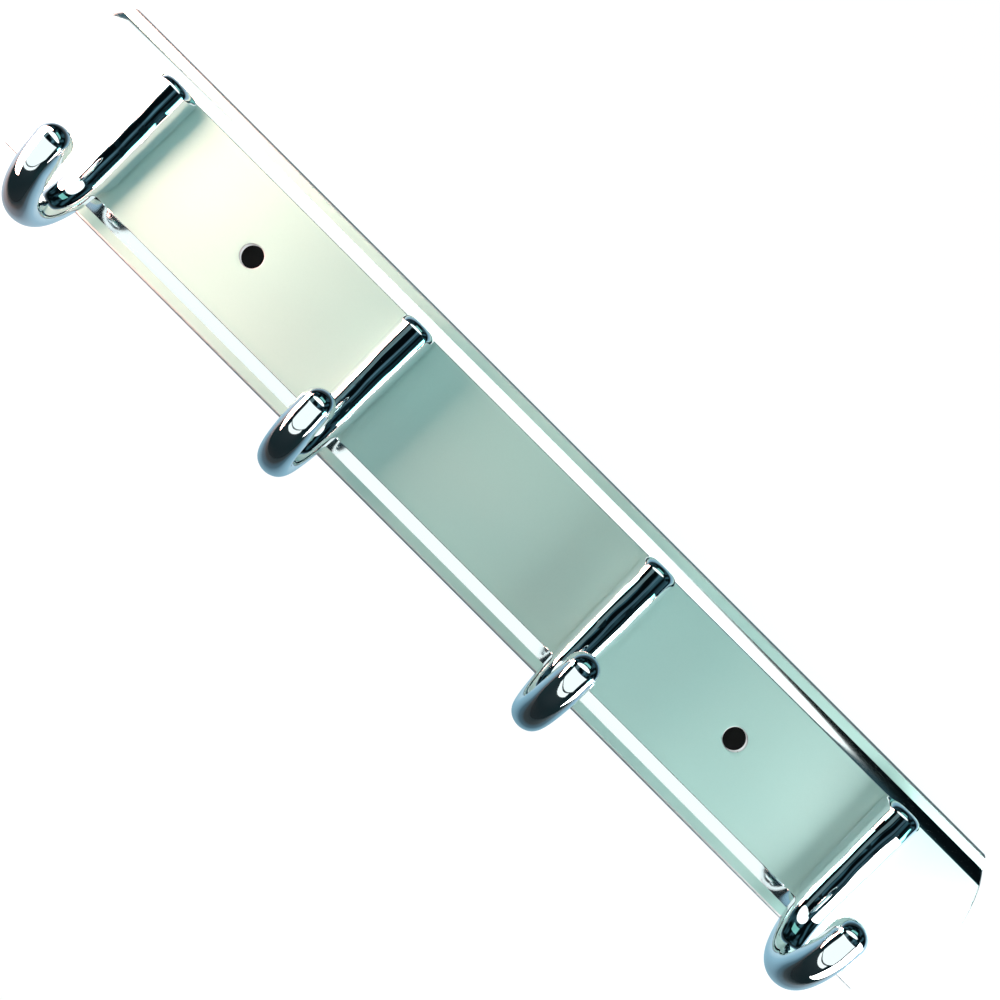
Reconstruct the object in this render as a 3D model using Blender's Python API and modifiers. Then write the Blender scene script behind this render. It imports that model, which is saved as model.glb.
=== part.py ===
"""Wall hook rack: an extruded aluminium rail carrying a row of cast hooks, each held by screws from behind.

Metres. +X runs along the rail, +Z is up, the front faces -Y and the wall is the plane Y = 0.
The origin is the middle of the back, on the wall.
"""

import math

import bmesh
import bpy
from mathutils import Matrix

# Rail
rail_length = 0.371          # over the crowns of the two rounded ends
rail_width = 0.0556
web_front = 0.0060           # the satin face, over the wall
web_thickness = 0.0020
groove_width = 0.0078        # shallow groove along each long edge, from the satin face to the edge's corner
groove_low_from_edge = 0.0037  # its lowest line, from the rail's outer edge
groove_depth = 0.0008
edge_radius = 0.0009         # outer corner between groove and leg
leg_thickness = 0.0018
end_radius = 0.044           # plan radius of the rounded ends

# Holes for the wall screws
wall_hole_spacing = 0.200
wall_hole_radius = 0.0036

# Hooks
hook_count = 4
end_margin = 0.0375          # from an end's crown to the nearest hook
hook_top_overhang = 0.0006   # the foot's top, past the satin face's upper edge
hook_low_gap = 0.0045        # from the foot's end to the satin face's lower edge
half_width_top = 0.0060
half_width_low = 0.00535
flank_height = 0.0046        # straight flanks of the foot, under its half-round front
front_top = 0.0060           # depth of the half-round front, at the top
front_low = 0.00535          # and where the bend begins
bend_start_over_foot_end = 0.0014
bend_depth = 0.0151          # semi-axis of the bend, away from the wall
bend_drop = 0.0210           # semi-axis of the bend, downwards
bend_turn = math.radians(166)
rod_back = 0.0041            # the rod's half thickness on its outer side, where it leaves the foot
rod_bottom = 0.0043          # half the rod's thickness at the bottom of the bend
rod_side_bottom = 0.0050     # half the rod's width there
tip_radius = 0.0051
tip_run = 0.0036             # straight part between the bend and the round tip
top_rounding = 0.0028        # rounded edge of the hook's top end

# Screws that hold the hooks
screw_radius = 0.0020
screw_length = 0.0100
screw_head_radius = 0.0040
screw_head_height = 0.0024
screw_edge = 0.0004
screw_from_top = 0.0080      # upper screw, below the foot's top
screw_from_end = 0.0090      # lower screw, above the foot's end
thread_depth_spare = 0.0006  # the blind hole, past the screw's end

gap = 0.0003                 # between pieces that touch
cutter_spare = 0.002         # how far a cutter runs past what it cuts

# Mesh fineness
end_arc_steps = 24
hole_sides = 32
screw_sides = 20
front_steps = 12             # across the half-round front of a hook
back_steps = 12              # round its flanks and back, a multiple of four
bend_steps = 20
round_steps = 5

# Places worked out from the sizes above
satin_half = rail_width / 2 - groove_width
hook_pitch = (rail_length - 2 * end_margin) / (hook_count - 1)
foot_top = satin_half + hook_top_overhang
foot_end = -satin_half + hook_low_gap
bend_level = foot_end + bend_start_over_foot_end
web_back = web_front - web_thickness
screw_levels = {"upper": foot_top - screw_from_top, "lower": foot_end + screw_from_end}
thread_depth = screw_length - web_thickness - 2 * gap + thread_depth_spare


def clear_scene():
    for obj in list(bpy.data.objects):
        bpy.data.objects.remove(obj)


def new_collection(name):
    group = bpy.data.collections.new(name)
    bpy.context.scene.collection.children.link(group)
    return group


def new_material(name, colour, roughness, metallic):
    material = bpy.data.materials.new(name)
    material.use_nodes = True
    shader = material.node_tree.nodes["Principled BSDF"]
    shader.inputs["Base Color"].default_value = (*colour, 1.0)
    shader.inputs["Roughness"].default_value = roughness
    shader.inputs["Metallic"].default_value = metallic
    return material


def add_object(name, data, group, material=None):
    obj = bpy.data.objects.new(name, data)
    group.objects.link(obj)
    if material:
        data.materials.append(material)
    return obj


def add_cutter(name, data, group):
    cutter = add_object(name, data, group)
    cutter.hide_render = True
    cutter.display_type = "WIRE"
    return cutter


def outline_mesh(name, points, thickness):
    """A flat closed outline as a solid, its thickness centred on the outline's plane."""
    curve = bpy.data.curves.new(name, "CURVE")
    curve.dimensions = "2D"
    curve.fill_mode = "BOTH"
    curve.extrude = thickness / 2
    spline = curve.splines.new("POLY")
    spline.points.add(len(points) - 1)
    for point, (x, y) in zip(spline.points, points):
        point.co = (x, y, 0, 1)
    spline.use_cyclic_u = True
    holder = bpy.data.objects.new(name, curve)
    bpy.context.scene.collection.objects.link(holder)
    evaluated = holder.evaluated_get(bpy.context.evaluated_depsgraph_get())
    mesh = bpy.data.meshes.new_from_object(evaluated)
    bpy.data.objects.remove(holder)
    shape = bmesh.new()
    shape.from_mesh(mesh)
    bmesh.ops.remove_doubles(shape, verts=shape.verts, dist=1e-6)
    bmesh.ops.recalc_face_normals(shape, faces=shape.faces)
    shape.to_mesh(mesh)
    shape.free()
    return mesh


def cylinder_mesh(name, radius, length):
    """A cylinder along Z, centred on the origin."""
    mesh = bpy.data.meshes.new(name)
    shape = bmesh.new()
    bmesh.ops.create_cone(
        shape, cap_ends=True, segments=hole_sides, radius1=radius, radius2=radius, depth=length
    )
    shape.to_mesh(mesh)
    shape.free()
    return mesh


def cut(obj, cutter, operation="DIFFERENCE"):
    boolean = obj.modifiers.new(cutter.name, "BOOLEAN")
    boolean.operation = operation
    boolean.solver = "EXACT"
    boolean.object = cutter


def shade_round(mesh, angle=30):
    mesh.shade_smooth()
    mesh.set_sharp_from_angle(angle=math.radians(angle))


def rail_profile():
    """The rail's section: the upper half, then its mirror image. Points are (across, out from the wall)."""
    half = rail_width / 2
    corner_turns = [math.radians(30 * step) for step in range(4)]
    corner = [
        (half - edge_radius * (1 - math.cos(turn)), web_front - edge_radius * (1 - math.sin(turn)))
        for turn in corner_turns
    ]
    upper = [(half - leg_thickness, web_back), (half - leg_thickness, 0), (half, 0)]
    upper += corner
    upper += [(half - groove_low_from_edge, web_front - groove_depth), (satin_half, web_front)]
    lower = [(-across, out) for across, out in reversed(upper)]
    return upper + lower


def rail_plan():
    """The rail from the front: two arcs, joined outside the rail's long edges."""
    reach = rail_width / 2 + cutter_spare
    turn = math.asin(reach / end_radius)
    centre = rail_length / 2 - end_radius
    turns = [turn * (2 * step / end_arc_steps - 1) for step in range(end_arc_steps + 1)]
    right = [(centre + end_radius * math.cos(angle), end_radius * math.sin(angle)) for angle in turns]
    left = [(-x, -z) for x, z in right]
    return right + left


def hole_cutter(name, mesh, x, z, out, cutters):
    """A round cutter across the rail, its middle at the given height over the wall."""
    cutter = add_cutter(name, mesh, cutters)
    cutter.location = (x, -out, z)
    cutter.rotation_euler = (math.pi / 2, 0, 0)
    return cutter


def hook_places():
    first = -hook_pitch * (hook_count - 1) / 2
    return [first + hook_pitch * index for index in range(hook_count)]


def make_rail(parts, cutters, material):
    mesh = outline_mesh("rail", rail_profile(), rail_length)
    rail = add_object("rail", mesh, parts, material)
    rail.matrix_world = Matrix(((0, 0, 1, 0), (0, -1, 0, 0), (1, 0, 0, 0), (0, 0, 0, 1)))
    depth = web_front + cutter_spare

    plan = add_cutter("rail_plan", outline_mesh("rail_plan", rail_plan(), 2 * depth), cutters)
    plan.rotation_euler = (math.pi / 2, 0, 0)
    cut(rail, plan, "INTERSECT")

    web_middle = (web_front + web_back) / 2
    wall_hole = cylinder_mesh("wall_hole", wall_hole_radius, web_thickness + 2 * cutter_spare)
    for side, x in (("left", -wall_hole_spacing / 2), ("right", wall_hole_spacing / 2)):
        cut(rail, hole_cutter(f"wall_hole_{side}", wall_hole, x, 0, web_middle, cutters))

    screw_hole = cylinder_mesh("screw_hole", screw_radius + gap, web_thickness + 2 * cutter_spare)
    for number, x in enumerate(hook_places(), 1):
        for level, z in screw_levels.items():
            cut(rail, hole_cutter(f"screw_hole_{number}_{level}", screw_hole, x, z, web_middle, cutters))
    shade_round(mesh, 20)
    return rail


def section(half_width, front, back, roundness):
    """One cross-section of a hook, as (across, outward) points round it, anticlockwise from +across.

    The front half is an ellipse. The back half runs from straight flanks and a flat back, at roundness 0,
    to an ellipse, at roundness 1.
    """
    points = []
    for step in range(front_steps):
        turn = math.pi * step / front_steps
        points.append((half_width * math.cos(turn), front * math.sin(turn)))
    quarter = back_steps // 4
    for step in range(back_steps):
        turn = math.pi * (1 + step / back_steps)
        if step <= quarter:
            flat = (-half_width, -back * step / quarter)
        elif step <= 3 * quarter:
            flat = (half_width * ((step - quarter) / quarter - 1), -back)
        else:
            flat = (half_width, -back * (back_steps - step) / quarter)
        oval = (half_width * math.cos(turn), back * math.sin(turn))
        points.append(tuple(mix(a, b, roundness) for a, b in zip(flat, oval)))
    return points


def mix(a, b, share):
    return a + (b - a) * share


def smooth(value):
    """Eases a share from 0 to 1, and holds it there."""
    value = min(max(value, 0.0), 1.0)
    return value * value * (3 - 2 * value)


def foot_sections():
    """Level sections down the foot, from its rounded top end to where its flat back stops."""
    rings = []
    stops = []
    for step in range(round_steps + 1):
        turn = math.pi / 2 * step / round_steps
        stops.append((foot_top - top_rounding * (1 - math.cos(turn)), top_rounding * (1 - math.sin(turn))))
    stops += [((foot_top + foot_end) / 2, 0), (bend_level, 0), (foot_end, 0)]
    for level, inset in stops:
        share = (foot_top - level) / (foot_top - bend_level)
        share = min(share, 1.0)
        half_width = mix(half_width_top, half_width_low, share) - inset
        front = mix(front_top, front_low, share) - inset
        ring = section(half_width, front, flank_height, 0)
        rings.append([(across, flank_height + outward, level) for across, outward in ring])
    return rings


def rod_sections():
    """Sections square to the rod's centre line, round the bend, up to the pole of the round tip."""
    rings = []
    start = math.asin((bend_level - foot_end) / bend_drop) + math.radians(3)
    for step in range(bend_steps + 1):
        turn = start + (bend_turn - start) * step / bend_steps
        out = flank_height + bend_depth * (1 - math.cos(turn))
        level = bend_level - bend_drop * math.sin(turn)
        along = (bend_depth * math.sin(turn), -bend_drop * math.cos(turn))
        length = math.hypot(*along)
        inward = (-along[1] / length, along[0] / length)
        to_bottom = math.sin(min(turn, math.pi / 2))
        to_tip = smooth((turn - math.pi / 2) / (bend_turn - math.pi / 2))
        front = mix(mix(front_low, rod_bottom, to_bottom), tip_radius, to_tip)
        back = mix(mix(rod_back, rod_bottom, to_bottom), tip_radius, to_tip)
        width = mix(mix(half_width_low, rod_side_bottom, to_bottom), tip_radius, to_tip)
        ring = section(width, front, back, 1)
        rings.append([(across, out + inward[0] * o, level + inward[1] * o) for across, o in ring])
    ahead = (along[0] / length, along[1] / length)
    for step in range(round_steps):
        turn = math.pi / 2 * step / round_steps
        run = tip_run + tip_radius * math.sin(turn)
        radius = tip_radius * math.cos(turn)
        ring = section(radius, radius, radius, 1)
        rings.append([
            (across, out + ahead[0] * run + inward[0] * o, level + ahead[1] * run + inward[1] * o)
            for across, o in ring
        ])
    reach = tip_run + tip_radius
    pole = (0.0, out + ahead[0] * reach, level + ahead[1] * reach)
    return rings, pole


def hook_mesh():
    """A loft from the foot's flat-backed sections to the rod's oval ones, with its seat at Y = 0."""
    rings, pole = rod_sections()
    rings = foot_sections() + rings
    around = len(rings[0])
    points = [(across, -out, level) for ring in rings for across, out, level in ring]
    points.append((pole[0], -pole[1], pole[2]))
    faces = [tuple(range(around))]
    for row in range(len(rings) - 1):
        for column in range(around):
            after = (column + 1) % around
            a, b = row * around + column, row * around + after
            faces.append((a, a + around, b + around, b))
    last = (len(rings) - 1) * around
    faces += [(last + column, len(points) - 1, last + (column + 1) % around) for column in range(around)]
    mesh = bpy.data.meshes.new("hook")
    mesh.from_pydata(points, [], faces)
    shape = bmesh.new()
    shape.from_mesh(mesh)
    bmesh.ops.recalc_face_normals(shape, faces=shape.faces)
    shape.to_mesh(mesh)
    shape.free()
    return mesh


def make_hooks(parts, cutters, material):
    mesh = hook_mesh()
    mesh.materials.append(material)
    shade_round(mesh, 40)
    seat = web_front + gap
    thread_hole = cylinder_mesh("thread_hole", screw_radius + gap, thread_depth + cutter_spare)
    for number, x in enumerate(hook_places(), 1):
        hook = add_object(f"hook_{number}", mesh, parts)
        hook.location = (x, -seat, 0)
        for level, z in screw_levels.items():
            middle = seat + (thread_depth - cutter_spare) / 2
            cut(hook, hole_cutter(f"thread_hole_{number}_{level}", thread_hole, x, z, middle, cutters))


def screw_mesh(material):
    """Half the section of a pan-head screw, turned about Z, with the head's underside at Z = 0."""
    mesh = bpy.data.meshes.new("hook_screw")
    profile = [
        (0, screw_length),
        (screw_radius - screw_edge, screw_length),
        (screw_radius, screw_length - screw_edge),
        (screw_radius, 0),
        (screw_head_radius, 0),
        (screw_head_radius, -screw_head_height / 2),
        (screw_head_radius - screw_edge, -screw_head_height + screw_edge),
        (screw_head_radius - 3 * screw_edge, -screw_head_height),
        (0, -screw_head_height),
    ]
    points = [(x, 0, z) for x, z in profile]
    mesh.from_pydata(points, [(i, i + 1) for i in range(len(points) - 1)], [])
    mesh.materials.append(material)
    return mesh


def make_screws(parts, material):
    mesh = screw_mesh(material)
    for number, x in enumerate(hook_places(), 1):
        for level, z in screw_levels.items():
            screw = add_object(f"hook_screw_{number}_{level}", mesh, parts)
            screw.location = (x, -(web_back - gap), z)
            screw.rotation_euler = (math.pi / 2, 0, 0)
            turned = screw.modifiers.new("turned", "SCREW")
            turned.steps = screw_sides
            turned.render_steps = screw_sides
            turned.use_merge_vertices = True
            turned.merge_threshold = 0.00001
            turned.use_smooth_shade = True


def main():
    clear_scene()
    parts = new_collection("wall_hook_rack")
    cutters = new_collection("cutters")
    satin = new_material("satin_aluminium", (0.72, 0.77, 0.75), 0.35, 1.0)
    chrome = new_material("chrome", (0.80, 0.83, 0.85), 0.06, 1.0)
    zinc = new_material("zinc_plated_steel", (0.62, 0.63, 0.62), 0.30, 1.0)
    make_rail(parts, cutters, satin)
    make_hooks(parts, cutters, chrome)
    make_screws(parts, zinc)


main()
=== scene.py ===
import math

import bmesh
import bpy
import numpy as np
from mathutils import Matrix, Vector


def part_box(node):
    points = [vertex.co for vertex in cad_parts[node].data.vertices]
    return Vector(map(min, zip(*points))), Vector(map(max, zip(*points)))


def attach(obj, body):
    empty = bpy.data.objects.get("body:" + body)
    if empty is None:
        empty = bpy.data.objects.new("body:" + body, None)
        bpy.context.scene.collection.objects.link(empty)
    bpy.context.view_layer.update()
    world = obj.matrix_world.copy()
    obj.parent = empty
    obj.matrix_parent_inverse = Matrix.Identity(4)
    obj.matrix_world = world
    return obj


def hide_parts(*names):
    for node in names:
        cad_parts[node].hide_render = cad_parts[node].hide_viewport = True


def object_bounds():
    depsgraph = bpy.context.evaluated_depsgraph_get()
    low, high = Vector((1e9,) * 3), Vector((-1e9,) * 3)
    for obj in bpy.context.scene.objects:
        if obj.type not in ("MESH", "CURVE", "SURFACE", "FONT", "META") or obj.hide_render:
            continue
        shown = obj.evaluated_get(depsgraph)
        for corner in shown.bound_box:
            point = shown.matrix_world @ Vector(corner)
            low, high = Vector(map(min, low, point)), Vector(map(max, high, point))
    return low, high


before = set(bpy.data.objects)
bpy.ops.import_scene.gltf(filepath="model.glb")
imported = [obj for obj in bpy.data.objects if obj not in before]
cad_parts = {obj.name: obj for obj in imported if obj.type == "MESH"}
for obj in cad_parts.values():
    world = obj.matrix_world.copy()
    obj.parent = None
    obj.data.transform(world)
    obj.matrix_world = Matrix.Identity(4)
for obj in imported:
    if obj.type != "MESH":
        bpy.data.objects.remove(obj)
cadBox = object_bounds()
mm = 0.001


class Wire:
    # An output socket. Sums written with it add their own Math nodes
    def __init__(self, finish, socket):
        self.finish = finish
        self.socket = socket

    def maths(self, operation, *values):
        return self.finish.node("ShaderNodeMath", {"operation": operation}, dict(enumerate(values)))

    def __add__(self, other):
        return self.maths("ADD", self, other)

    def __rsub__(self, other):
        return self.maths("SUBTRACT", other, self)

    def __mul__(self, other):
        return self.maths("MULTIPLY", self, other)

    def __pow__(self, other):
        return self.maths("POWER", self, other)

    def __gt__(self, other):
        return self.maths("GREATER_THAN", self, other)

    def __lt__(self, other):
        return self.maths("LESS_THAN", self, other)

    __radd__ = __add__
    __rmul__ = __mul__


class Finish:
    # One material. Every node comes from node(): its type, its settings, and its sockets' values or links
    def __init__(self, name, tree=None):
        if tree is None:
            self.material = bpy.data.materials.new(name)
            self.material.use_nodes = True
            tree = self.material.node_tree
        self.tree = tree
        self.tree.nodes.clear()

    def node(self, kind, settings=None, sockets=None, output=0):
        made = self.tree.nodes.new(kind)
        for name, value in (settings or {}).items():
            if name == "stops":
                for stop, (place, colour) in zip(rampStops(made, len(value)), value):
                    stop.position = place
                    stop.color = colour
            else:
                setattr(made, name, value)
        for key, value in (sockets or {}).items():
            if isinstance(value, Wire):
                self.tree.links.new(value.socket, made.inputs[key])
            else:
                made.inputs[key].default_value = value
        return Wire(self, made.outputs[output]) if len(made.outputs) else made

    def noise(self, stretch, detail=2.0, roughness=0.5):
        # stretch is how many features a metre holds along X, Y and Z
        place = self.node("ShaderNodeTexCoord", output=3)
        spread = self.node("ShaderNodeMapping", None, {"Vector": place, "Scale": stretch})
        return self.node("ShaderNodeTexNoise", None,
                         {"Vector": spread, "Scale": 1.0, "Detail": detail, "Roughness": roughness})

    def tint(self, amount, first, second):
        return self.node("ShaderNodeMix", {"data_type": "RGBA"},
                         {"Factor": amount, 6: painted(first), 7: painted(second)}, output=2)

    def metal(self, colour, roughness, height, depth):
        # bare metal whose height map stands depth metres from low to high
        bump = self.node("ShaderNodeBump", None, {"Height": height, "Distance": depth, "Strength": 1.0})
        self.shown(self.node("ShaderNodeBsdfPrincipled", None, {
            "Base Color": colour, "Roughness": roughness, "Metallic": 1.0, "Normal": bump}))
        return self.material

    def shown(self, shader, kind="Material"):
        self.node("ShaderNodeOutput" + kind, None, {"Surface": shader})


def painted(colour):
    # a wired colour as it is, and three numbers with a full alpha
    return colour if isinstance(colour, Wire) else (*colour, 1.0)


def rampStops(node, count):
    # a colour ramp's stops, with new ones up to count
    stops = node.color_ramp.elements
    while len(stops) < count:
        stops.new(0.5)
    return stops


def gridFaces(index):
    # the four corners of every cell of a two-way array of vertex numbers
    cells = (index[:-1, :-1], index[1:, :-1], index[1:, 1:], index[:-1, 1:])
    return np.stack(cells, -1).reshape(-1, 4)


class Sheets:
    # Collects grids of points with a finish number for each cell, and welds them into one closed mesh
    def __init__(self):
        self.points, self.faces, self.zones, self.count = [], [], [], 0

    def add(self, points, zone=0, keep=None, wrap=False):
        rows, columns = points.shape[:2]
        index = self.count + np.arange(rows * columns).reshape(rows, columns)
        if wrap:
            index = np.concatenate([index, index[:, :1]], 1)
        cells = gridFaces(index)
        zones = np.broadcast_to(zone, (index.shape[0] - 1, index.shape[1] - 1)).ravel()
        if keep is not None:
            cells, zones = cells[keep.ravel()], zones[keep.ravel()]
        self.points.append(points.reshape(-1, 3))
        self.faces += cells.tolist()
        self.zones += zones.tolist()
        self.count += rows * columns

    def addFace(self, points, zone=0):
        self.points.append(points)
        self.faces.append(list(range(self.count, self.count + len(points))))
        self.zones.append(zone)
        self.count += len(points)

    def mesh(self, name, sharpAngle, weld=1e-6):
        # sharpAngle is the least angle of a hard edge, in degrees
        mesh = bpy.data.meshes.new(name)
        mesh.from_pydata(np.concatenate(self.points).tolist(), [], self.faces)
        mesh.polygons.foreach_set("material_index", np.array(self.zones, np.int32))
        shape = bmesh.new()
        shape.from_mesh(mesh)
        bmesh.ops.remove_doubles(shape, verts=shape.verts, dist=weld)
        bmesh.ops.dissolve_degenerate(shape, edges=shape.edges, dist=weld)
        bmesh.ops.recalc_face_normals(shape, faces=shape.faces)
        openEdges = sum(not edge.is_manifold for edge in shape.edges)
        shape.to_mesh(mesh)
        shape.free()
        mesh.shade_smooth()
        mesh.set_sharp_from_angle(angle=math.radians(sharpAngle))
        print(f"{name}: {len(mesh.polygons)} faces, {openEdges} open edges")
        return mesh


def addPiece(name, mesh, finishes, node):
    piece = bpy.data.objects.new(name, mesh)
    bpy.context.scene.collection.objects.link(piece)
    for finish in finishes:
        mesh.materials.append(finish)
    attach(piece, "root")
    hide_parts(node)
    return piece


def eased(share):
    # 0 to 1 with level ends
    share = np.clip(share, 0.0, 1.0)
    return share * share * (3 - 2 * share)


def blended(first, second, share):
    # first at share 0, second at share 1, in proportion between
    return first + (second - first) * share


viewSettings = {
    "cameraPlace": (5.4 * mm, -356.0 * mm, 1.4 * mm),
    "cameraAim": (2.1 * mm, -6.0 * mm, 0.9 * mm),
    "lens": 43.06,
    "roll": 45,            # degrees, so that the rail runs from top left to bottom right
}


def makeCamera(values):
    # Up is square to the line of sight, and leans from +Z towards -X by the roll
    data = bpy.data.cameras.new("camera")
    data.lens = values["lens"]
    camera = bpy.data.objects.new("camera", data)
    bpy.context.scene.collection.objects.link(camera)
    place = Vector(values["cameraPlace"])
    ahead = (Vector(values["cameraAim"]) - place).normalized()
    roll = math.radians(values["roll"])
    lean = Vector((-math.sin(roll), 0, math.cos(roll)))
    right = ahead.cross(lean).normalized()
    up = right.cross(ahead)
    camera.matrix_world = Matrix.Translation(place) @ Matrix((right, up, -ahead)).transposed().to_4x4()
    bpy.context.scene.camera = camera
    view = bpy.context.scene.view_settings
    view.view_transform = "Standard"
    view.look = "None"


stageSettings = {
    "wallGap": 0.4 * mm,          # the board stands this far behind the rack
    "wallReach": 1.2,
    "shadeReach": (176.0 * mm, 25.4 * mm),    # half size of the opening in the board behind the rack
    "shadeTone": (0.01, 0.01, 0.01),
    "floorReach": 3.0,
    "floorDrop": 0.30,
    "boardWhite": (0.05, 0.06, 0.065),
    "boardSeen": (0.975, 0.985, 0.985),          # its own light, as the camera sees it
    # its own light as metal mirrors it, by height over mirroredReach: a painted reflection, bright level with
    # the rack and darker further above and below
    "boardMirrored": [(0.15, (0.42, 0.62, 0.72, 1)), (0.20, (0.24, 0.45, 0.57, 1)),
                      (0.42, (0.03, 0.09, 0.13, 1)), (0.72, (0.002, 0.006, 0.008, 1))],
    "mirroredReach": 0.20,
    "floorShade": (0.006, 0.009, 0.010),
    "floorSeen": (0.70, 0.73, 0.73),
    "floorMirrored": (0.002, 0.008, 0.011),
    "backdrop": (0.93, 0.95, 0.95),
    "surround": [(0.48, (0.001, 0.003, 0.004, 1)), (0.72, (0.04, 0.11, 0.14, 1))],
    "roomPatches": 2.6,                       # patches of light in the dark room, over the whole sky
}


def addFlat(name, corners, finish, shadow=True):
    mesh = bpy.data.meshes.new(name)
    mesh.from_pydata([tuple(corner) for corner in corners], [], [(0, 1, 2, 3)])
    mesh.materials.append(finish)
    flat = bpy.data.objects.new(name, mesh)
    bpy.context.scene.collection.objects.link(flat)
    flat.visible_shadow = shadow
    return flat


def upright(halfWidth, halfHeight, y):
    # corners of a flat that faces the front
    return [(-halfWidth, y, -halfHeight), (halfWidth, y, -halfHeight), (halfWidth, y, halfHeight),
            (-halfWidth, y, halfHeight)]


def frontOnly(finish, shader, opening=0.0):
    # the shader on the front, and nothing on the back or where opening is 1
    hidden = 1 - (1 - finish.node("ShaderNodeNewGeometry", output=6)) * (1 - opening)
    clear = finish.node("ShaderNodeBsdfTransparent")
    finish.shown(finish.node("ShaderNodeMixShader", None, {0: hidden, 1: shader, 2: clear}))


def makeStage(values):
    # A pale floor below, and a pale wall board that shows from its front only, so that the rack's back can be
    # looked at too
    reach = values["wallReach"]
    wallY = cadBox[1].y + values["wallGap"]
    low = cadBox[0].z - values["floorDrop"]

    board = Finish("boardPaintAndGlow")
    place = board.node("ShaderNodeTexCoord", output=3)
    across, level = (board.node("ShaderNodeSeparateXYZ", None, {0: place}, output=axis) for axis in (0, 2))
    width, height = across.maths("ABSOLUTE", across), level.maths("ABSOLUTE", level)
    behind = (width < values["shadeReach"][0]) * (height < values["shadeReach"][1])
    # painted reflection: metal mirrors the board as a glow that is bright level with the rack and dark above
    # and below, while the camera sees an even glow
    mirrored = board.node("ShaderNodeValToRGB", {"stops": values["boardMirrored"]},
                          {0: height * (1 / values["mirroredReach"])})
    paintAndGlow = board.node("ShaderNodeBsdfPrincipled", None, {
        "Base Color": (*values["boardWhite"], 1), "Roughness": 0.8, "Specular IOR Level": 0.0,
        "Emission Color": board.tint(board.node("ShaderNodeLightPath"), mirrored, values["boardSeen"]),
        "Emission Strength": 1.0})
    frontOnly(board, paintAndGlow, behind)
    addFlat("wallBoard", upright(reach, reach, wallY), board.material, shadow=False)

    shade = Finish("wallShade")       # what shows through the wall holes
    frontOnly(shade, shade.node("ShaderNodeBsdfPrincipled", None, {
        "Base Color": (*values["shadeTone"], 1), "Roughness": 1.0}))
    patch = addFlat("wallShade", upright(*values["shadeReach"], wallY), shade.material, shadow=False)
    patch.visible_glossy = patch.visible_diffuse = False

    floor = Finish("floorPaint")
    glow = floor.tint(floor.node("ShaderNodeLightPath"), values["floorMirrored"], values["floorSeen"])
    floor.shown(floor.node("ShaderNodeBsdfPrincipled", None, {
        "Base Color": (*values["floorShade"], 1), "Roughness": 0.9, "Emission Color": glow,
        "Emission Strength": 1.0}))
    side = values["floorReach"]
    addFlat("floor", [(-side, -side, low), (side, -side, low), (side, side, low), (-side, side, low)],
            floor.material)

    world = bpy.data.worlds.new("studio")
    world.use_nodes = True
    bpy.context.scene.world = world
    air = Finish("studio", world.node_tree)
    sight = air.node("ShaderNodeLightPath")
    patches = air.node("ShaderNodeTexNoise", None, {"Vector": air.node("ShaderNodeTexCoord"),
                                                    "Scale": values["roomPatches"], "Detail": 1.0})
    room = air.node("ShaderNodeValToRGB", {"stops": values["surround"]}, {0: patches})
    pale = air.tint(sight, room, values["backdrop"])
    air.shown(air.node("ShaderNodeBackground", None, {"Color": pale, "Strength": 1.0}), "World")


cardSettings = {
    # right and left edge (X, Y) as seen from its dark side, lowest and highest Z, colour, brightness, shape
    "leftCard": ((-0.186, -0.096), (-0.42, -0.015), (-0.135, 0.056), (1.0, 0.56, 0.46), 15.0, "RECTANGLE"),
    "rightCard": ((0.42, -0.015), (0.192, -0.086), (-0.14, 0.010), (0.96, 0.90, 0.88), 8.6, "RECTANGLE"),
    "farLeft": ((-0.66, -0.34), (-0.90, -0.10), (-0.20, 0.05), (0.55, 1.0, 0.95), 4.0, "RECTANGLE"),
    "farRight": ((0.90, -0.10), (0.66, -0.30), (-0.20, 0.05), (0.30, 1.0, 0.96), 3.6, "RECTANGLE"),
    "topBox": ((0.26, -0.36), (-0.46, -0.36), (0.086, 0.275), (0.93, 1.0, 0.97), 1.22, "ELLIPSE"),
    "skyBox": ((0.20, -0.36), (-0.20, -0.36), (0.34, 0.56), (0.35, 1.0, 0.88), 0.6, "RECTANGLE"),
    "lowBox": ((0.40, -0.36), (-0.40, -0.36), (-0.27, -0.088), (0.92, 1.0, 0.98), 1.18, "RECTANGLE"),
    "underBox": ((0.30, -0.36), (-0.36, -0.36), (-0.56, -0.285), (0.93, 1.0, 0.98), 1.20, "RECTANGLE"),
    "leftPanel": ((-0.46, -0.90), (-1.00, -0.90), (-0.30, 0.30), (0.60, 0.95, 1.0), 0.20, "RECTANGLE"),
    "rightPanel": ((0.30, -0.90), (0.10, -0.90), (-0.20, 0.20), (0.40, 0.80, 1.0), 0.12, "RECTANGLE"),
    "rearBox": ((-0.90, 0.60), (0.90, 0.60), (-0.28, 0.80), (1.0, 1.0, 1.0), 0.9, "RECTANGLE"),
}


def makeCards(settings):
    # Upright light panels. A panel shines along up cross (first edge - second edge)
    for name, (first, second, (low, high), colour, brightness, shape) in settings.items():
        first, second = Vector((*first, 0)), Vector((*second, 0))
        light = bpy.data.lights.new(name, "AREA")
        light.shape = shape
        light.size, light.size_y = (second - first).length, high - low
        light.color = colour
        light.energy = brightness * light.size * light.size_y * math.pi
        card = bpy.data.objects.new(name, light)
        bpy.context.scene.collection.objects.link(card)
        along = (first - second).normalized()
        up = Vector((0, 0, 1))
        card.matrix_world = (Matrix.Translation((first + second) / 2 + up * (low + high) / 2)
                             @ Matrix((along, up, along.cross(up))).transposed().to_4x4())
        card.visible_camera = False


makeCamera(viewSettings)
makeStage(stageSettings)
makeCards(cardSettings)
print("camera, stage and lights are set")


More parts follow.
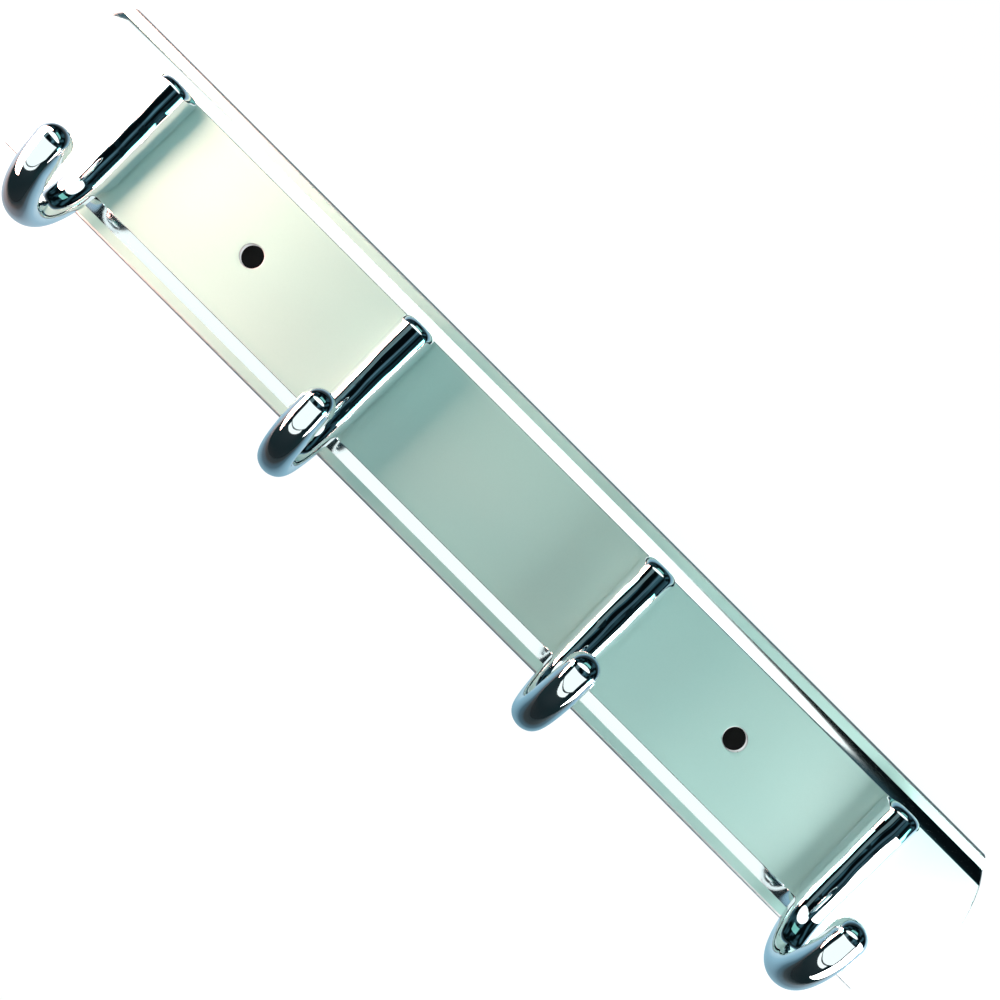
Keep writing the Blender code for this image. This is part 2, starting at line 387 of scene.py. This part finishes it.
railSettings = {
    "front": 6.0 * mm,            # satin face, over the wall
    "web": 2.0 * mm,
    "leg": 1.8 * mm,
    "band": 4.1 * mm,             # polished band along each long edge
    "bandDrop": 0.8 * mm,
    "bandBend": 1.85,             # slope at the band's outer side, over that at its inner side
    "shoulder": 0.35 * mm,        # rounded start of the band
    "facet": 2.8 * mm,            # satin strip outside the band
    "corner": 0.9 * mm,
    "endRadius": 44.0 * mm,
    "deburr": 0.55 * mm,
    "wallHoleRadius": 3.6 * mm,
    "wallHoleSpacing": 200.0 * mm,
    "screwHoleRadius": 2.3 * mm,
    "rimChamfer": 0.25 * mm,
    "patch": 1.35,                # half side of the cut-out round a hole, over its radius
    "backEdge": 0.25 * mm,
    "backSpare": 0.05 * mm,       # the web's back keeps this far from its fillets
    "straight": 160.0 * mm,       # how far the even columns run from the middle
    "holeStep": 0.9 * mm,
    "longStep": 4.0 * mm,
    "easeCells": 6,
    "endCells": 6,
}
railZones = {"satin": 0, "polished": 1, "mill": 2, "sawn": 3}


def spacedBy(breaks, step):
    # rising numbers through every break, no further apart than step
    runs = [np.linspace(a, b, max(1, math.ceil((b - a) / step - 1e-6)), endpoint=False)
            for a, b in zip(breaks[:-1], breaks[1:])]
    return np.concatenate([*runs, breaks[-1:]])


def bandFall(along, values):
    # How far the polished band lies under the satin face. Its slope grows evenly from 0 over the shoulder,
    # then evenly up to bandBend times that. The whole fall is bandDrop
    soft, run = values["shoulder"], values["band"] - values["shoulder"]
    slope = values["bandDrop"] / (soft / 2 + (1 + values["bandBend"]) / 2 * run)
    past = along - soft
    steeper = slope * (soft / 2 + past + (values["bandBend"] - 1) * past ** 2 / (2 * run))
    return np.where(along < soft, slope * along ** 2 / (2 * soft), steeper)


def frontOutline(half, webLines, values):
    # Rows of (across, out, lean), where lean is the way that a rounded end moves the point. The upper strip
    # is the band's curve, a straight facet and a quarter circle, and the lower one mirrors it
    edge, band, facet, radius = webLines[-1], values["band"], values["facet"], values["corner"]
    along = np.concatenate([np.linspace(0, values["shoulder"], 6)[1:],
                            np.linspace(values["shoulder"], band, 13)[1:]])
    rise = np.linspace(0, 1, 5)[1:]
    turn = np.linspace(0, math.pi / 2, 13)[1:]
    across = np.concatenate([edge + along, edge + band + facet * rise, half - radius + radius * np.sin(turn)])
    out = np.concatenate([values["front"] - bandFall(along, values),
                          values["front"] - values["bandDrop"] * (1 - rise),
                          values["front"] - radius + radius * np.cos(turn)])
    flat = np.zeros(len(along) + len(rise))
    lean = np.stack([np.concatenate([flat, -np.sin(turn)]), np.concatenate([flat - 1, -np.cos(turn)])], 1)
    upper = np.column_stack([across, out, lean])
    still = webLines * 0
    web = np.column_stack([webLines, still + values["front"], still, still - 1])
    zones = [railZones["polished"]] * len(along) + [railZones["satin"]] * len(rise)
    zones += [railZones["mill"]] * len(turn)
    satin = [railZones["satin"]] * (len(webLines) - 1)
    return np.concatenate([upper[::-1] * (-1, 1, -1, 1), web, upper]), zones[::-1] + satin + zones


def backOutline(half, lines, values):
    # Rows as in frontOutline, from the corner down the upper leg, along the web's back and out over the lower
    # leg, with quarter circles at the turns
    soft, leg = values["backEdge"], half - values["leg"]
    webBack = values["front"] - values["web"]
    turn = np.linspace(0, math.pi / 2, 4)
    still = turn * 0
    start = np.array([[half, values["front"] - values["corner"], -1, 0]])
    outer = np.column_stack([half - soft + soft * np.cos(turn), soft - soft * np.sin(turn), still - 1, still])
    inner = np.column_stack([leg + soft - soft * np.sin(turn), soft - soft * np.cos(turn), still, still])
    fillet = np.column_stack([leg - soft + soft * np.cos(turn), webBack - soft + soft * np.sin(turn),
                              still, still])
    upper = np.concatenate([start, outer, inner, fillet])
    web = np.column_stack([lines[::-1], lines * 0 + webBack, lines * 0, lines * 0])
    return np.concatenate([upper, web, upper[::-1] * (-1, 1, -1, 1)])


def railGrid(outline, middle, length, values):
    # Carries the outline along the rail. The middle columns stand square to it. The rest ease into the bowed
    # end, a circle of endRadius, and the last ones turn through a quarter circle that rounds the cut edge
    across, out, lean = outline[:, 0], outline[:, 1], outline[:, 2:]
    radius, soft, reach = values["endRadius"], values["deburr"], values["straight"]
    end = (length / 2 - radius + np.sqrt(radius ** 2 - across ** 2))[:, None]
    turn = np.linspace(0, math.pi / 2, values["endCells"] + 1)[1:]
    stretch = reach + (end - soft - reach) * np.linspace(0, 1, values["easeCells"] + 1)[1:]
    close = end - soft + soft * np.sin(turn)
    right = np.concatenate([stretch, close], 1)
    even = np.broadcast_to(middle, (len(across), len(middle)))
    along = np.concatenate([-right[:, ::-1], even, right], 1)
    drop = np.zeros(along.shape[1])
    drop[-len(turn):] = soft * (1 - np.cos(turn))
    drop[:len(turn)] = drop[:-len(turn) - 1:-1]
    height = out[:, None] + lean[:, 1:] * drop
    place = across[:, None] + lean[:, :1] * drop
    return np.stack([along, -height, place], -1), stretch.shape[1] + close.shape[1]


def holeStrip(rim, centre, radius, values):
    # Rings from the front rim, over a quarter circle, down the hole and out to the rim on the web's back.
    # Every ring's points lie at the rim's own angles round the centre
    soft, web = values["rimChamfer"], values["web"]
    flat = rim[:, [0, 2]] - centre
    ray = flat / np.linalg.norm(flat, axis=1)[:, None]
    turn = np.linspace(0, math.pi / 2, 5)
    radii = np.concatenate([radius + soft - soft * np.sin(turn), [radius, radius]])
    depths = np.concatenate([soft - soft * np.cos(turn), [web / 2, web]])
    spots = centre + ray * radii[:, None, None]
    depth = -values["front"] + depths
    rings = np.stack([spots[..., 0], np.broadcast_to(depth[:, None], spots.shape[:2]), spots[..., 1]], -1)
    behind = rim.copy()
    behind[:, 1] = -values["front"] + web
    zones = [railZones["satin"]] + [railZones["sawn"]] * (len(radii) - 1) + [railZones["mill"]]
    return np.concatenate([rim[None], rings, behind[None]]), zones


def rimOf(points, rows, columns):
    # the border of a block of a grid, once round
    (top, bottom), (left, right) = rows, columns
    return np.concatenate([points[top, left:right], points[top:bottom, right],
                           points[bottom, right:left:-1], points[bottom:top:-1, left]])


def railMesh(values, screws):
    # The front and back grids, with a square cut out round each hole. Rings fill the cut-outs and line
    # the holes, and flat strips close the two ends
    low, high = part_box("rail")
    half, length = high.z, high.x - low.x
    satinHalf = half - values["band"] - values["facet"] - values["corner"]
    holes = [(side * values["wallHoleSpacing"] / 2, 0.0, values["wallHoleRadius"]) for side in (-1, 1)]
    holes += [(x, z, values["screwHoleRadius"]) for x, z in screws]
    spans = [(x, z, radius, radius * values["patch"]) for x, z, radius in holes]
    acrossBreaks = {-satinHalf, satinHalf}
    acrossBreaks |= {round(z + side * reach, 7) for _, z, _, reach in spans for side in (-1, 1)}
    alongBreaks = {-values["straight"], values["straight"]}
    alongBreaks |= {round(x + side * reach, 7) for x, _, _, reach in spans for side in (-1, 1)}
    webLines = spacedBy(np.array(sorted(acrossBreaks)), values["holeStep"])
    breaks = np.array(sorted(alongBreaks))
    widest = 2 * values["patch"] * values["wallHoleRadius"] + values["holeStep"]
    steps = np.where(np.diff(breaks) < widest, values["holeStep"], values["longStep"])
    runs = [spacedBy(breaks[i:i + 2], step)[:-1] for i, step in enumerate(steps)]
    middle = np.concatenate([*runs, breaks[-1:]])

    front, zones = frontOutline(half, webLines, values)
    inside = np.abs(front[:, 0]) < half - values["leg"] - values["backEdge"] - values["backSpare"]
    back = backOutline(half, front[inside, 0], values)
    frontGrid, skip = railGrid(front, middle, length, values)
    backGrid, _ = railGrid(back, middle, length, values)
    keepFront = np.ones((frontGrid.shape[0] - 1, frontGrid.shape[1] - 1), bool)
    keepBack = np.ones((backGrid.shape[0] - 1, backGrid.shape[1] - 1), bool)
    sheets = Sheets()
    for x, z, radius, reach in spans:
        rows = [int(np.argmin(np.abs(front[:, 0] - place))) for place in (z - reach, z + reach)]
        columns = [skip + int(np.argmin(np.abs(middle - place))) for place in (x - reach, x + reach)]
        rings, ringZones = holeStrip(rimOf(frontGrid, rows, columns), np.array([x, z]), radius, values)
        sheets.add(rings, np.array(ringZones)[:, None], wrap=True)
        keepFront[rows[0]:rows[1], columns[0]:columns[1]] = False
        onWeb = np.abs(back[:, 1] - values["front"] + values["web"]) < 1e-7
        level = np.where(onWeb, back[:, 0], 1.0)
        top, bottom = (int(np.argmin(np.abs(level - place))) for place in (z + reach, z - reach))
        keepBack[top:bottom, columns[0]:columns[1]] = False
    finishes = np.repeat(np.array(zones)[:, None], frontGrid.shape[1] - 1, 1)
    finishes[:, :values["endCells"]] = finishes[:, -values["endCells"]:] = railZones["sawn"]
    sheets.add(frontGrid, finishes, keepFront)
    sheets.add(backGrid, railZones["mill"], keepBack)

    first = int(np.argmax(inside))
    count = int(inside.sum())
    turnBack = (len(back) - count) // 2
    for column in (0, -1):
        face, rear = frontGrid[:, column], backGrid[:, column]
        strip = np.stack([face[first:first + count], rear[turnBack:turnBack + count][::-1]], 1)
        sheets.add(strip, railZones["sawn"])
        sheets.addFace(np.concatenate([face[first + count - 1:], rear[1:turnBack + 1]]), railZones["sawn"])
        sheets.addFace(np.concatenate([face[first::-1], rear[-2:turnBack + count - 2:-1]]), railZones["sawn"])
    return sheets.mesh("rail_fine", 12)


hookSettings = {
    "topHalfWidth": 6.0 * mm,
    "lowHalfWidth": 5.35 * mm,
    "flank": 4.6 * mm,            # straight sides under the half-round front
    "topFront": 6.0 * mm,
    "lowFront": 5.35 * mm,
    "footToBend": 1.4 * mm,       # the bend starts this far above the foot's end
    "footEnd": -15.5 * mm,
    "bendDepth": 15.1 * mm,
    "bendDrop": 21.0 * mm,
    "bendTurn": 166,
    "rodBack": 4.1 * mm,
    "rodBottom": 4.3 * mm,
    "rodSide": 5.0 * mm,
    "tipRadius": 5.1 * mm,
    "tipRun": 3.6 * mm,
    "topRounding": 2.8 * mm,
    "backCorner": 0.5 * mm,
    "oval": (3.8, 13.0),          # degrees of the bend over which the flat back turns oval
    "ovalParts": (1.3, 0.55, 1.0),    # weights of a flank, a corner and a seat cell on the oval
    "threadRadius": 2.25 * mm,
    "threadDepth": 8.0 * mm,
    "countersink": 0.16,          # depth and width of the hole's bevel, over its radius
    "cone": 0.6,                  # depth of the drill's cone, over its radius
    "patch": 1.45,                # half side of the cut-out round a threaded hole, over its radius
    "seatRim": 3,                 # cells of the seat beside a cut-out
    "rowStep": 0.9 * mm,
    "frontCells": 44,
    "flankCells": 5,
    "cornerCells": 4,
    "seatCells": 16,
    "bendCells": 117,
    "tipCells": 24,
}


def hookSection(halfWidth, front, back, roundness, values):
    # Points round the sections, one row for each. The front is half an ellipse. The back goes from straight
    # flanks, round corners and a flat seat to half an ellipse, in the share given by roundness
    halfWidth, front, back = halfWidth[:, None], front[:, None], back[:, None]
    turn = np.linspace(0, math.pi, values["frontCells"], endpoint=False)
    ahead = np.stack([halfWidth * np.cos(turn), front * np.sin(turn)], -1)

    corner = np.minimum(values["backCorner"], back * 0.4)
    down = np.linspace(0, 1, values["flankCells"], endpoint=False)
    arc = np.linspace(0, math.pi / 2, values["cornerCells"], endpoint=False)
    seat = np.linspace(-1, 1, values["seatCells"], endpoint=False)
    left = [np.stack([-halfWidth + down * 0, -(back - corner) * down], -1),
            np.stack([-halfWidth + corner * (1 - np.cos(arc)), -(back - corner) - corner * np.sin(arc)], -1)]
    flat = np.stack([(halfWidth - corner) * seat, -back + seat * 0], -1)
    arcUp, up = math.pi / 2 - arc, 1 - down
    right = [np.stack([halfWidth - corner * (1 - np.cos(arcUp)),
                       -(back - corner) - corner * np.sin(arcUp)], -1),
             np.stack([halfWidth + up * 0, -(back - corner) * up], -1)]
    square = np.concatenate([*left, flat, *right], 1)
    counts = (values["flankCells"], values["cornerCells"], values["seatCells"])
    flanks, corners, seats = (np.full(count, part) for count, part in zip(counts, values["ovalParts"]))
    steps = np.concatenate([flanks, corners, seats, corners, flanks])
    angle = math.pi * (1 + (np.cumsum(steps) - steps) / steps.sum())
    oval = np.stack([halfWidth * np.cos(angle), back * np.sin(angle)], -1)
    return np.concatenate([ahead, blended(square, oval, roundness[:, None, None])], 1)


def hookRows(topLevel, screwLevels, values):
    # Levels down the foot and the inset at each. The top end's are a quarter circle, and a level lies on each
    # side of every threaded hole's cut-out
    turn = np.linspace(0, math.pi / 2, 15)
    rounding = values["topRounding"]
    levels = topLevel - rounding * (1 - np.cos(turn))
    inset = rounding * (1 - np.sin(turn))
    reach = values["patch"] * values["threadRadius"]
    bend = values["footEnd"] + values["footToBend"]
    breaks = sorted([bend, levels[-1]] + [z + side * reach for z in screwLevels for side in (-1, 1)])
    straight = spacedBy(np.array(breaks), values["rowStep"])[::-1][1:]
    return np.concatenate([levels, straight]), np.concatenate([inset, straight * 0])


def threadedHole(rim, level, values):
    # Rings from the seat, over a countersunk edge and down a drilled hole to the point of its cone
    radius, depth = values["threadRadius"], values["threadDepth"]
    centre = np.array([0, level])
    flat = rim[:, [0, 2]] - centre
    ray = flat / np.linalg.norm(flat, axis=1)[:, None]
    sink, cone = values["countersink"], values["cone"] * radius
    radii = np.array([1 + sink, 1.0, 1.0, 1.0, 0.5, 0.0]) * radius
    depths = np.array([0, sink * radius, depth / 2, depth, depth + cone / 2, depth + cone])
    spots = centre + ray * radii[:, None, None]
    rings = np.stack([spots[..., 0], np.broadcast_to(-depths[:, None], spots.shape[:2]), spots[..., 1]], -1)
    return np.concatenate([rim[None], rings])


def hookMesh(topLevel, screwLevels, values):
    # The foot's level sections, then sections square to an elliptic bend, then a straight run and a round tip
    bend = values["footEnd"] + values["footToBend"]
    levels, inset = hookRows(topLevel, screwLevels, values)
    share = (topLevel - levels) / (topLevel - bend)
    wide = blended(values["topHalfWidth"], values["lowHalfWidth"], share) - inset
    deep = blended(values["topFront"], values["lowFront"], share) - inset
    foot = hookSection(wide, deep, np.full_like(levels, values["flank"]), levels * 0, values)
    foot = np.stack([foot[..., 0], -(values["flank"] + foot[..., 1]), foot[..., 0] * 0 + levels[:, None]], -1)

    turn = np.radians(np.linspace(0, values["bendTurn"], values["bendCells"] + 1)[1:])
    out = values["flank"] + values["bendDepth"] * (1 - np.cos(turn))
    level = bend - values["bendDrop"] * np.sin(turn)
    ahead = np.stack([values["bendDepth"] * np.sin(turn), -values["bendDrop"] * np.cos(turn)], -1)
    ahead /= np.linalg.norm(ahead, axis=1)[:, None]
    toBottom = np.sin(np.minimum(turn, math.pi / 2))
    toTip = eased((turn - math.pi / 2) / (turn[-1] - math.pi / 2))
    oval = eased((np.degrees(turn) - values["oval"][0]) / (values["oval"][1] - values["oval"][0]))
    tip = values["tipRadius"]
    front = blended(blended(values["lowFront"], values["rodBottom"], toBottom), tip, toTip)
    back = blended(blended(values["rodBack"], values["rodBottom"], toBottom), tip, toTip)
    back = blended(values["flank"], back, oval)
    side = blended(blended(values["lowHalfWidth"], values["rodSide"], toBottom), tip, toTip)

    run = values["tipRun"] * np.linspace(0, 1, 5)[1:]
    close = np.linspace(0, math.pi / 2, values["tipCells"] + 1)[1:]
    reach = np.concatenate([run, values["tipRun"] + tip * np.sin(close)])
    size = np.concatenate([run * 0 + tip, tip * np.cos(close)])
    out = np.concatenate([out, out[-1] + ahead[-1, 0] * reach])
    level = np.concatenate([level, level[-1] + ahead[-1, 1] * reach])
    ahead = np.concatenate([ahead, np.broadcast_to(ahead[-1], (len(reach), 2))])
    front, back, side = (np.concatenate([v, size]) for v in (front, back, side))
    oval = np.concatenate([oval, reach * 0 + 1])
    rod = hookSection(side, front, back, oval, values)
    rod = np.stack([rod[..., 0], -(out[:, None] - ahead[:, 1:] * rod[..., 1]),
                    level[:, None] + ahead[:, :1] * rod[..., 1]], -1)

    middle = np.array([0, -values["flank"], topLevel])
    cap = middle + (foot[0] - middle) * np.linspace(0, 1, 6)[:-1, None, None]
    grid = np.concatenate([cap, foot, rod])
    keep = np.ones((len(grid) - 1, grid.shape[1]), bool)
    seatStart = values["frontCells"] + values["flankCells"] + values["cornerCells"]
    reach = values["patch"] * values["threadRadius"]
    sheets = Sheets()
    for z in screwLevels:
        rows = [len(cap) + int(np.argmin(np.abs(levels - place))) for place in (z + reach, z - reach)]
        columns = [seatStart + values["seatRim"], seatStart + values["seatCells"] - values["seatRim"]]
        sheets.add(threadedHole(rimOf(grid, rows, columns), z, values), wrap=True)
        keep[rows[0]:rows[1], columns[0]:columns[1]] = False
    sheets.add(grid, 0, keep, wrap=True)
    return sheets.mesh("hook_fine", 35)


screwSettings = {
    "headRadius": 4.0 * mm,
    "headHeight": 2.4 * mm,
    "radius": 2.0 * mm,
    "rootRadius": 1.62 * mm,
    "pitch": 0.7 * mm,
    "crossReach": 1.9 * mm,       # half the length of the cross recess
    "crossHalfWidth": 0.48 * mm,
    "crossDepth": 1.25 * mm,
    "crossTaper": 0.55,           # its floor, over its mouth
    "crossPoint": 0.2 * mm,       # how far the middle of its floor is sunk
    "crossLip": (0.985, 1.03, 0.04 * mm),    # its lip's two sides, over its mouth, and the lip's depth
    "flatTop": 0.62,              # radius of the head's flat middle, over its own
    "dome": 0.55,                 # how far the domed edge falls, over the head's height
    "headEdge": 0.12 * mm,
    "threadSteps": 8,             # rows to a turn of the thread
    "threadFlank": 3.2,           # steepness of a groove's sides, in whole depths to a pitch
    "threadFade": (1.5, 0.8),     # pitches over which the thread starts and ends
    "tipLength": 0.3 * mm,
    "tipBevel": 0.25 * mm,
    "nextTurn": 37,               # degrees from one screw's recess to the next one's
}


def crossEdge(angle, reach, halfWidth):
    # Radius of a plus-shaped outline at an angle: the end of an arm, or the arm's side
    local = np.abs((angle + math.pi / 4) % (math.pi / 2) - math.pi / 4)
    end = reach / np.cos(local)
    side = halfWidth / np.maximum(np.sin(local), 1e-6)
    return np.minimum(end, side)


def screwMesh(values):
    # Turned rows from the middle of the cross recess over the domed head and down the thread. Height is
    # measured from under the head, up towards the recess. The thread's radius falls and rises along a helix,
    # by the distance down over the pitch plus the angle over a whole turn
    corner = math.atan(values["crossHalfWidth"] / values["crossReach"])
    sector = np.concatenate([np.linspace(-corner, corner, 4, endpoint=False),
                             np.linspace(corner, math.pi / 4, 4, endpoint=False),
                             np.linspace(math.pi / 4, math.pi / 2 - corner, 4, endpoint=False)])
    angle = np.concatenate([sector + quarter * math.pi / 2 for quarter in range(4)])
    mouth = crossEdge(angle, values["crossReach"], values["crossHalfWidth"])
    top, head = values["headHeight"], values["headRadius"]
    floorLevel = top - values["crossDepth"]
    inner, outer, lip = values["crossLip"]
    radii = [mouth * 0, mouth * values["crossTaper"], mouth * inner, mouth * outer]
    heights = [floorLevel - values["crossPoint"], floorLevel, top - lip, top]
    flatEdge = values["flatTop"] * head
    for share in (0.5, 1.0):
        radii.append(blended(mouth * outer, flatEdge, share))
        heights.append(top)
    for turn in np.linspace(0, math.pi / 2, 9)[1:]:
        radii.append(flatEdge + (head - flatEdge) * math.sin(turn) + mouth * 0)
        heights.append(top - values["dome"] * top * (1 - math.cos(turn)))
    edge = values["headEdge"]
    radii += [mouth * 0 + head, mouth * 0 + head - edge, mouth * 0 + values["radius"]]
    heights += [edge, 0.0, 0.0]
    heads = np.stack([np.stack([r * np.cos(angle), r * np.sin(angle), mouth * 0 + h], -1)
                      for r, h in zip(radii, heights)])

    low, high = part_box("hook_screw_1_upper")
    length = (high.y - low.y) - top
    threaded = length - values["tipLength"]
    down = np.arange(0.0, threaded, values["pitch"] / values["threadSteps"])[1:, None]
    phase = (down / values["pitch"] + angle / (2 * math.pi)) % 1.0
    groove = np.clip(values["threadFlank"] * (0.5 - np.abs(phase - 0.5)), 0, 1)
    start, stop = (values["pitch"] * pitches for pitches in values["threadFade"])
    fadeIn = np.clip(down / start, 0, 1)
    fadeOut = np.clip((threaded - down) / stop, 0, 1)
    radius = values["radius"] - (values["radius"] - values["rootRadius"]) * groove * fadeIn
    radius = blended(values["rootRadius"], radius, fadeOut)
    thread = np.stack([radius * np.cos(angle), radius * np.sin(angle), -down + angle * 0], -1)
    ends = np.stack([np.stack([r * np.cos(angle), r * np.sin(angle), angle * 0 - length], -1)
                     for r in (values["rootRadius"] - values["tipBevel"], values["rootRadius"] / 2, 0.0)])
    sheets = Sheets()
    sheets.add(np.concatenate([heads, thread, ends]), wrap=True)
    return sheets.mesh("screw_fine", 35)


def placed(mesh, name, offset, turn=None):
    # a copy of a mesh, turned and moved in its own points
    copy = mesh.copy()
    copy.name = name
    copy.transform(Matrix.Translation(offset) @ (turn or Matrix.Identity(4)))
    return copy


satinLook = {
    "tone": (0.645, 0.87, 0.83),
    "cast": (0.69, 0.85, 0.83),
    "roughness": 0.85,
    "grain": 2200,                # grains to a metre
    "grainDepth": 0.004 * mm,
}


def satinFinish(values):
    finish = Finish("satin_anodised")
    patches = finish.noise((9, 30, 26), detail=3)
    grain = finish.noise((values["grain"] * 0.6, values["grain"], values["grain"]), detail=3, roughness=0.7)
    lines = finish.noise((6, 900, 900), detail=4)
    colour = finish.tint(patches, values["tone"], values["cast"])
    roughness = values["roughness"] - 0.05 + 0.06 * grain + 0.05 * patches
    height = grain * 0.8 + lines * 0.35
    return finish.metal(colour, roughness, height, values["grainDepth"])


polishedLook = {
    "tone": (0.88, 0.90, 0.90),
    "cast": (0.84, 0.87, 0.88),
    "roughness": 0.05,
    "lineDepth": 0.0008 * mm,
}


def polishedFinish(values):
    finish = Finish("polished_aluminium")
    lines = finish.noise((4, 1400, 1400), detail=3)
    haze = finish.noise((25, 200, 200), detail=2)
    colour = finish.tint(haze, values["tone"], values["cast"])
    roughness = values["roughness"] + 0.05 * haze + 0.03 * lines
    return finish.metal(colour, roughness, lines, values["lineDepth"])


millLook = {
    "tone": (0.70, 0.72, 0.72),
    "cast": (0.60, 0.62, 0.62),
    "roughness": 0.34,
    "lineDepth": 0.012 * mm,
}


def millFinish(values):
    finish = Finish("mill_aluminium")
    lines = finish.noise((3, 1100, 1100), detail=5, roughness=0.65)
    stains = finish.noise((18, 60, 60), detail=4)
    colour = finish.tint(stains, values["tone"], values["cast"])
    roughness = values["roughness"] + 0.14 * lines + 0.08 * stains
    return finish.metal(colour, roughness, lines, values["lineDepth"])


sawnLook = {
    "tone": (0.86, 0.88, 0.88),
    "cast": (0.72, 0.75, 0.75),
    "roughness": 0.22,
    "markDepth": 0.006 * mm,
}


def sawnFinish(values):
    finish = Finish("sawn_aluminium")
    marks = finish.noise((900, 2600, 500), detail=3, roughness=0.7)
    colour = finish.tint(marks, values["tone"], values["cast"])
    return finish.metal(colour, values["roughness"] + 0.16 * marks, marks, values["markDepth"])


chromeLook = {
    "tone": (0.84, 0.89, 0.92),
    "roughness": 0.03,
    "ripple": 62,                 # ripples to a metre, left by casting and buffing
    "rippleDepth": 1.3 * mm,
}


def chromeFinish(values):
    finish = Finish("mirror_chrome")
    ripple = finish.noise((values["ripple"],) * 3, detail=1)
    smear = finish.noise((60, 60, 22), detail=4, roughness=0.6)
    scratches = finish.noise((2600, 2600, 160), detail=2, roughness=0.6)
    colour = finish.tint(smear, values["tone"], tuple(0.97 * tone for tone in values["tone"]))
    roughness = values["roughness"] + 0.03 * smear ** 3 + 0.02 * (scratches > 0.66)
    return finish.metal(colour, roughness, ripple, values["rippleDepth"])


zincLook = {
    "tone": (0.66, 0.68, 0.68),
    "cast": (0.60, 0.60, 0.54),
    "roughness": 0.24,
    "grainDepth": 0.004 * mm,
}


def zincFinish(values):
    finish = Finish("zinc_plated_steel")
    cloud = finish.noise((420, 420, 420), detail=4, roughness=0.6)
    grain = finish.noise((3200, 3200, 3200), detail=2)
    colour = finish.tint(cloud, values["tone"], values["cast"])
    roughness = values["roughness"] + 0.12 * cloud + 0.06 * grain
    return finish.metal(colour, roughness, grain, values["grainDepth"])


hookNames = sorted(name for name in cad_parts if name.startswith("hook_") and "screw" not in name)
screwNames = sorted(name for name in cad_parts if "screw" in name)
screwPlaces = {name: (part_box(name)[0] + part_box(name)[1]) / 2 for name in screwNames}

# in the order of railZones
railFinishes = [
    satinFinish(satinLook),
    polishedFinish(polishedLook),
    millFinish(millLook),
    sawnFinish(sawnLook),
]
rail = railMesh(railSettings, [(place.x, place.z) for place in screwPlaces.values()])
addPiece("rail_fine", rail, railFinishes, "rail")

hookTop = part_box(hookNames[0])[1].z
screwLevels = sorted({round(place.z, 5) for place in screwPlaces.values()})
hook = hookMesh(hookTop, screwLevels, hookSettings)
chrome = chromeFinish(chromeLook)
for name in hookNames:
    low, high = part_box(name)
    seat = ((low.x + high.x) / 2, high.y, 0)
    addPiece(name + "_fine", placed(hook, name + "_fine", seat), [chrome], name)

screw = screwMesh(screwSettings)
zinc = zincFinish(zincLook)
facing = Matrix.Rotation(math.radians(-90), 4, "X")
for number, name in enumerate(screwNames):
    low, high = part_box(name)
    spin = Matrix.Rotation(math.radians(screwSettings["nextTurn"] * number), 4, "Z")
    offset = (screwPlaces[name].x, high.y - screwSettings["headHeight"], screwPlaces[name].z)
    addPiece(name + "_fine", placed(screw, name + "_fine", offset, facing @ spin), [zinc], name)
print("all pieces are made")
